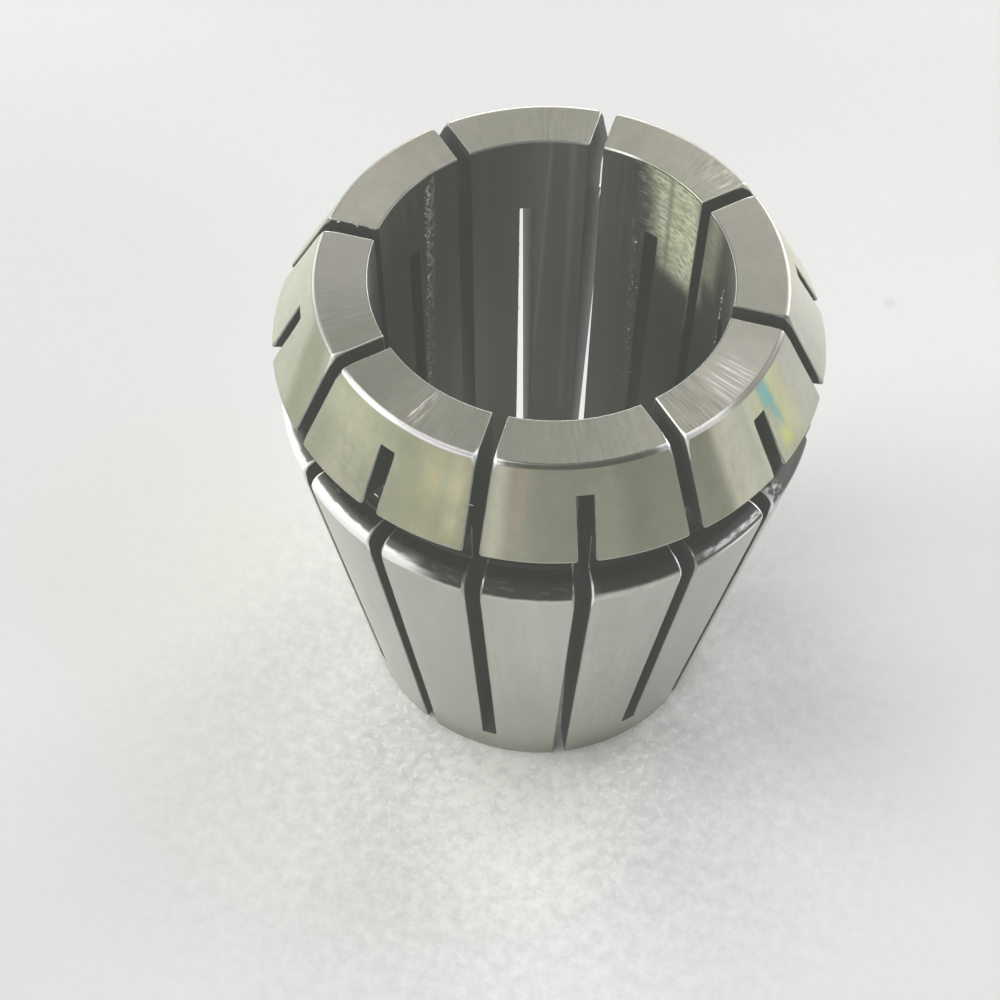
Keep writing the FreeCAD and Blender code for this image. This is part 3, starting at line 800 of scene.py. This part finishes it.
boreFinishAndPaintedLight = {
    "dark": (0.39, 0.40, 0.36), "light": (0.50, 0.51, 0.465),
    "lines": (1.8, 0.03), "mottle": (0.35, 0.02), "speck": (3.0, 1.0),
    "lineColour": 0.35, "roughness": (0.28, 0.36), "depth": 0.6, "speckShare": 0.4,
    "anisotropy": 0.6, "lie": 0.25,
    "allMarksAndPaintedLight": {"on": "bore"},
    # All of these are painted light and shade: the pale patches near the mouth from 33 to 74 degrees and the
    # soft streaks near 97 and 106 are painted reflections, the field from 92 to 127 is painted shade, and
    # the bright grained lines from 149 to 151 and 72.6 to 74.2 are painted sparkle along the burr rows
    "marksAndPaintedLight": [
        markOrPaintedLight((92, 127), (0.305, 0.325, 0.28), soft=(3, 1), strength=0.85),
        markOrPaintedLight((67, 74), (0.8, 0.83, 0.62), rise=(-0.1, 0.18), soft=(2.5, 2.5), lean=-0.2,
             grain=(0.8, 3.4, 0.46, 0.66), roughness=0.62, strength=0.7),
        markOrPaintedLight((46, 68.5), (0.93, 0.95, 0.73), rise=(-0.1, 0.215), soft=(3.4, 2.4), lean=-0.25, ragged=1.6,
             wave=(0.5, 1.4), roughness=0.64),
        markOrPaintedLight((46, 70), (0.4, 0.43, 0.27), rise=(-0.1, 0.24), soft=(2.0, 2.5), lean=-0.25,
             grain=(0.9, 3.6, 0.42, 0.66), strength=0.8),
        markOrPaintedLight((46, 70), (0.62, 0.65, 0.45), rise=(-0.1, 0.24), soft=(2.0, 2.5), lean=-0.25,
             grain=(0.35, 0.7, 0.45, 0.62), strength=0.5),
        markOrPaintedLight((60.3, 62.0), (0.3, 0.33, 0.24), rise=(-0.1, 0.2), soft=(0.7, 2), lean=-0.04, ragged=0.5,
             strength=0.65),
        markOrPaintedLight((33, 43.6), (0.62, 0.65, 0.47), rise=(-0.1, 0.15), soft=(3.0, 3), ragged=1.2, roughness=0.56,
             strength=0.8),
        markOrPaintedLight((33, 44), (0.42, 0.45, 0.31), rise=(-0.1, 0.17), soft=(3.0, 3), grain=(0.9, 3.6, 0.44, 0.64),
             strength=0.7),
        markOrPaintedLight((105.9, 106.9), (0.8, 0.82, 0.76), rise=(-0.1, 0.5), soft=(0.5, 8), lean=0.06, roughness=0.42,
             strength=0.35),
        markOrPaintedLight((96.5, 98.5), (0.75, 0.77, 0.72), rise=(-0.1, 0.7), soft=(0.9, 8), roughness=0.42,
             strength=0.35),
        markOrPaintedLight((149.0, 151.2), (0.85, 0.86, 0.82), rise=(0.0, 0.62), soft=(0.7, 3), lean=0.055,
             grain=(2.4, 1.6, 0.42, 0.62), roughness=0.75, strength=0.8),
        markOrPaintedLight((72.6, 74.2), (0.7, 0.71, 0.67), rise=(0.12, 0.6), soft=(0.8, 3), lean=-0.045,
             grain=(2.2, 1.4, 0.46, 0.66), roughness=0.7, strength=0.6),
    ],
}
sawFinishAndPaintedShade = {
    # Its near-black tone is painted shade in the deep, narrow slots
    "dark": (0.03, 0.031, 0.027), "light": (0.06, 0.062, 0.055),
    "lines": (3.0, 0.6), "mottle": (0.6, 0.5), "speck": (5.0, 5.0),
    "lineColour": 0.5, "roughness": (0.34, 0.44), "depth": 2.0, "speckShare": 0.6,
    "metallic": 0.0, "sheen": 0.04, "anisotropy": 0.0, "lie": 0.0,
}
edgeFinishAndPaintedLight = {
    "dark": (0.38, 0.38, 0.35), "light": (0.50, 0.50, 0.46),
    "lines": (1.5, 4.0), "mottle": (1.0, 1.0), "speck": (5.0, 5.0),
    "lineColour": 0.5, "roughness": (0.26, 0.32), "depth": 0.7, "speckShare": 0.8,
    "anisotropy": 0.0, "lie": 0.0,
    "allMarksAndPaintedLight": {"on": "faceEdge"},
    # These are painted light and shade: the light bands on the face's edge and the bore's mouth are painted
    # highlights, and the dark ones are painted shade and dark reflection
    "marksAndPaintedLight": [
        markOrPaintedLight((-131, -111), (0.84, 0.84, 0.8), soft=(5, 0.3), roughness=0.48),
        markOrPaintedLight((-111, -91), (0.6, 0.58, 0.58), soft=(5, 0.3), roughness=0.46),
        markOrPaintedLight((-205, -140), (0.34, 0.345, 0.31), soft=(5, 0.3), roughness=0.45),
        markOrPaintedLight((-84, -52), (0.21, 0.215, 0.175), soft=(3, 0.3)),
        markOrPaintedLight((-90, -86), (0.95, 0.95, 0.92), soft=(1, 0.3), roughness=0.45),
        markOrPaintedLight((-50, -45), (0.95, 0.95, 0.95), soft=(1, 0.3), roughness=0.45),
        markOrPaintedLight((-45, -30), (0.97, 0.95, 0.93), soft=(3, 0.3), ragged=1.5, roughness=0.5),
        markOrPaintedLight((-27, -2), (0.25, 0.24, 0.21), soft=(4, 0.3), roughness=0.45),
        markOrPaintedLight((-2, 155), (0.42, 0.4, 0.36), soft=(4, 0.3), roughness=0.45),
        markOrPaintedLight((46, 76), (0.31, 0.32, 0.23), on="boreMouth", soft=(2, 0.3)),
        markOrPaintedLight((76, 88), (0.8, 0.81, 0.72), on="boreMouth", soft=(2, 0.3)),
        markOrPaintedLight((157, 200), (0.22, 0.23, 0.2), on="boreMouth", soft=(3, 0.3)),
        markOrPaintedLight((-175, 40), (0.26, 0.265, 0.24), on="boreMouth", soft=(3, 0.3), roughness=0.4),
        markOrPaintedLight((134, 146), (0.75, 0.75, 0.7), on="boreMouth", soft=(2, 0.3)),
    ],
}
slotEdgeFinishAndPaintedLight = {
    # Its tone is darker than the other edges' as painted shade, which dulls their highlights
    "dark": (0.24, 0.245, 0.22), "light": (0.42, 0.42, 0.39),
    "lines": (1.5, 4.0), "mottle": (1.0, 1.0), "speck": (5.0, 5.0),
    "lineColour": 0.5, "roughness": (0.30, 0.38), "depth": 0.7, "speckShare": 0.8,
    "anisotropy": 0.0, "lie": 0.0,
    "allMarksAndPaintedLight": {"on": "rim", "soft": (0.4, 1), "roughness": 0.6},
    # Painted highlights: the pale lines along single slot edges
    "marksAndPaintedLight": [
        markOrPaintedLight((-44.5, -41.5), (0.95, 0.94, 0.85), on="face", roughness=0.5),
        markOrPaintedLight((-138.5, -136.5), (0.8, 0.8, 0.72), on="face", roughness=0.5),
        markOrPaintedLight((-93.5, -91), (1.0, 1.0, 1.0), on="faceEdge"),
        markOrPaintedLight((-89, -86.5), (0.95, 0.95, 0.9), on="faceEdge"),
        markOrPaintedLight((-48.5, -46), (1.0, 1.0, 1.0), on="faceEdge"),
        markOrPaintedLight((-66.8, -64.8), (1.0, 1.0, 1.0)),
        markOrPaintedLight((-48, -45.6), (1.0, 1.0, 1.0)),
        markOrPaintedLight((-25, -23.2), (1.0, 1.0, 1.0)),
        markOrPaintedLight((-21.8, -20), (0.9, 0.9, 0.9)),
        markOrPaintedLight((-138, -111), (0.9, 0.9, 0.85)),
        markOrPaintedLight((46, 49), (0.9, 0.9, 0.85), on="boreMouth"),
        markOrPaintedLight((46, 49), (0.7, 0.72, 0.6), on="bore", rise=(-0.1, 0.3), soft=(0.4, 3)),
    ],
}

burrFinish = {
    "colour": (0.90, 0.91, 0.87),
    "metallic": 0.55,       # crumbled burrs scatter light as well
    "grain": 9.0,           # cycles for each mm
    "roughness": (0.25, 0.5),
}


def burrSteel(name, look):
    steel = Finish(name)
    place = steel.add("TexCoord", {}, "Object")
    grain = steel.add("TexNoise", {"Vector": place, "Scale": look["grain"] / metresPerMm}, "Fac")
    rough = steel.spread(grain, *noiseLook["span"], *look["roughness"])
    return steel.dress({"Base Color": look["colour"], "Metallic": look["metallic"], "Roughness": rough})


# Camera where the photograph was taken from, in mm and degrees in the collet's own frame
photoCamera = {
    "place": (18.09, -77.01, 132.83),
    "azimuth": 15.76,
    "elevation": 59.08,
    "roll": 0.31,
    "lens": 58.62,
    "sensor": 36.0,
    "shiftUp": 0.1,         # share of the frame
    "nearest": 0.005,       # metres
}


def placeCamera(c):
    tilt = math.radians(c["elevation"])
    back = Vector((0, -math.cos(tilt), math.sin(tilt)))
    right = Vector((0, 0, 1)).cross(back).normalized()
    up = back.cross(right)
    axes = Matrix((right, up, back)).transposed()
    turn = Matrix.Rotation(math.radians(c["azimuth"]), 3, "Z")
    roll = Matrix.Rotation(math.radians(c["roll"]), 3, "Z")
    lens = bpy.data.cameras.new("photoCamera")
    lens.sensor_width = c["sensor"]
    lens.lens = c["lens"]
    lens.shift_y = c["shiftUp"]
    lens.clip_start = c["nearest"]
    camera = addObject("photoCamera", lens)
    camera.matrix_world = (turn @ axes @ roll).to_4x4()
    camera.location = Vector(c["place"]) * metresPerMm
    bpy.context.scene.camera = camera


# Soft lights: name, azimuth, elevation and power in watts. Azimuth 0 is on the camera's side and 90 on its
# right, both in degrees
studio = {
    "room": (0.2205, 0.2205, 0.2205),
    "distance": 3.0,        # metres from the collet
    "across": 1.5,          # metres
    "colour": (1.0, 1.0, 0.99),
    "lights": [
        ("lowRear", 180, 10, 44.5),
        ("lowRearLeft", 225, 10, 35.4),
        ("lowRearRight", 135, 10, 50.2),
        ("lowRight", 90, 10, 7.3),
        ("lowFront", 0, 10, 1.9),
        ("left", 270, 30, 36.5),
        ("frontLeft", 315, 30, 16.6),
        ("right", 105, 30, 7.2),
        ("highRear", 135, 50, 9.4),
        ("overhead", 240, 70, 15.4),
    ],
}


def placeLights(s):
    world = bpy.data.worlds.new("softRoom")
    world.use_nodes = True
    world.node_tree.nodes["Background"].inputs["Color"].default_value = (*s["room"], 1)
    bpy.context.scene.world = world
    target = Vector((0, 0, collet["length"] / 2 * metresPerMm))
    cameraSide = math.radians(photoCamera["azimuth"] - 90)
    for name, azimuth, elevation, power in s["lights"]:
        lamp = bpy.data.lights.new(name, "AREA")
        lamp.shape = "DISK"
        lamp.size = s["across"]
        lamp.energy = power
        lamp.color = s["colour"]
        light = addObject(name, lamp)
        turn = cameraSide + math.radians(azimuth)
        rise = math.radians(elevation)
        away = Vector((math.cos(turn) * math.cos(rise), math.sin(turn) * math.cos(rise), math.sin(rise)))
        light.location = target + away * s["distance"]
        light.rotation_euler = away.to_track_quat("Z", "Y").to_euler()


# White cloth that the collet stands on, in mm from the collet's axis
cloth = {
    "halfSide": 15000.0,
    "colour": (0.80, 0.80, 0.795),
    "roughness": 0.9,
    "sheen": 0.2,
    # The darker patches left of and behind the collet are painted shadow, greenish beside its foot; the
    # lighter ones to its right and in front are painted light, brightest just in front of the foot. The last
    # is a small darker spot, 1 mm across
    "paintedShadeLightAndSpot": [
        {"at": (-62, 15), "reach": (10, 60), "colour": (0.730, 0.733, 0.728)},
        {"at": (-25, 85), "reach": (15, 60), "colour": (0.757, 0.757, 0.752)},
        {"at": (38, 42), "reach": (8, 45), "colour": (0.866, 0.864, 0.861)},
        {"at": (42, 4), "reach": (4, 22), "colour": (0.850, 0.850, 0.842), "strength": 0.8},
        {"at": (-12, -44), "reach": (6, 30), "colour": (0.845, 0.845, 0.842)},
        {"at": (8, -32), "reach": (3, 22), "colour": (0.845, 0.845, 0.838), "strength": 0.9},
        {"at": (-36, -2), "reach": (5, 23), "colour": (0.715, 0.727, 0.685), "strength": 0.95},
        {"at": (-12, -12), "reach": (14, 36), "colour": (0.800, 0.810, 0.757), "strength": 0.6},
        {"at": (3.5, -21), "reach": (3, 13), "colour": (0.965, 0.965, 0.915), "strength": 0.9},
        {"at": (26.3, 46.7), "reach": (0.1, 1.0), "colour": (0.76, 0.76, 0.755)},
    ],
    "foot": (2, -14),       # where the nap is seen best
    "nap": {"cycles": 0.8, "reach": (5, 45), "depth": (0.78, 0.04)},
    "glints": {"cycles": 1.5, "reach": (5, 24), "over": (0.575, 0.66), "colour": (1.0, 1.0, 0.97)},
}


def layCloth(c):
    corners = [np.array((x, y, 0)) * c["halfSide"] for x, y in ((-1, -1), (1, -1), (1, 1), (-1, 1))]
    floor = makePiece("whiteCloth", corners, [(0, 1, 2, 3)])
    weave = Finish("whiteClothNap")
    place = weave.add("TexCoord", {}, "Object")

    def fade(spot, reach, near=1.0, far=0.0):   # from near to far over that reach from a spot
        centre = (spot[0] * metresPerMm, spot[1] * metresPerMm, 0)
        away = weave.add("VectorMath", {0: place, 1: centre}, "Value", operation="DISTANCE")
        return weave.spread(away, *(mm * metresPerMm for mm in reach), near, far, smooth=True)

    def tufts(part):
        return weave.noise(place, (c[part]["cycles"] / metresPerMm,) * 2, *noiseLook[part])

    colour = c["colour"]
    # Painted shadow and light laid over the cloth's plain colour
    for patch in c["paintedShadeLightAndSpot"]:
        inside = fade(patch["at"], patch["reach"], patch.get("strength", 1.0))
        colour = weave.blendColour(inside, colour, patch["colour"])
    nap, glints = c["nap"], c["glints"]
    depth = fade(c["foot"], nap["reach"], *nap["depth"])
    shade = weave.combine("MULTIPLY", weave.combine("SUBTRACT", tufts("nap"), noiseLook["middle"]), depth)
    shaded = weave.scaleColour(colour, weave.combine("ADD", shade, 1.0))
    sparkle = weave.spread(tufts("glints"), *glints["over"])
    sparkle = weave.combine("MULTIPLY", sparkle, fade(c["foot"], glints["reach"]))
    bright = weave.blendColour(sparkle, shaded, glints["colour"])
    look = {"Base Color": bright, "Roughness": c["roughness"], "Specular IOR Level": c["sheen"]}
    floor.data.materials.append(weave.dress(look))


piece = makeCollet()
looks = {
    "rear": groundSteel("turnedRear", taperFinishAndPaintedLight), "taper": groundSteel("groundTaper", taperFinishAndPaintedLight),
    "rim": groundSteel("roundedRim", rimFinishAndPaintedLight), "rimWall": groundSteel("rimWall", rimWallFinishAndPaintedShadeAndLight),
    "groove": groundSteel("turnedGroove", grooveFinishAndPaintedShade), "edge": groundSteel("brokenEdge", edgeFinishAndPaintedLight),
    "nose": groundSteel("groundNose", noseFinishAndPaintedLight), "face": groundSteel("groundFace", faceFinishAndPaintedLight),
    "bore": groundSteel("honedBore", boreFinishAndPaintedLight), "saw": groundSteel("sawnSlot", sawFinishAndPaintedShade),
    "slotEdge": groundSteel("slotEdge", slotEdgeFinishAndPaintedLight),
}
for finish in finishes:
    piece.data.materials.append(looks[finish])
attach(piece, "root")
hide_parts("collet_body")
slivers = makeBurrs(burrs)
slivers.data.materials.append(burrSteel("burrSteel", burrFinish))
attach(slivers, "root")
print("finishes set")

layCloth(cloth)
placeLights(studio)
placeCamera(photoCamera)

# Plain tones, with the pale haze that a bright cloth throws over the darkest ones
tone = {"transform": "Standard", "haze": (0.058, 0.061, 0.053)}
view = bpy.context.scene.view_settings
view.view_transform = tone["transform"]
view.use_curve_mapping = True
view.curve_mapping.black_level = [-share for share in tone["haze"]]
view.curve_mapping.update()
print("stage, lights and camera set")
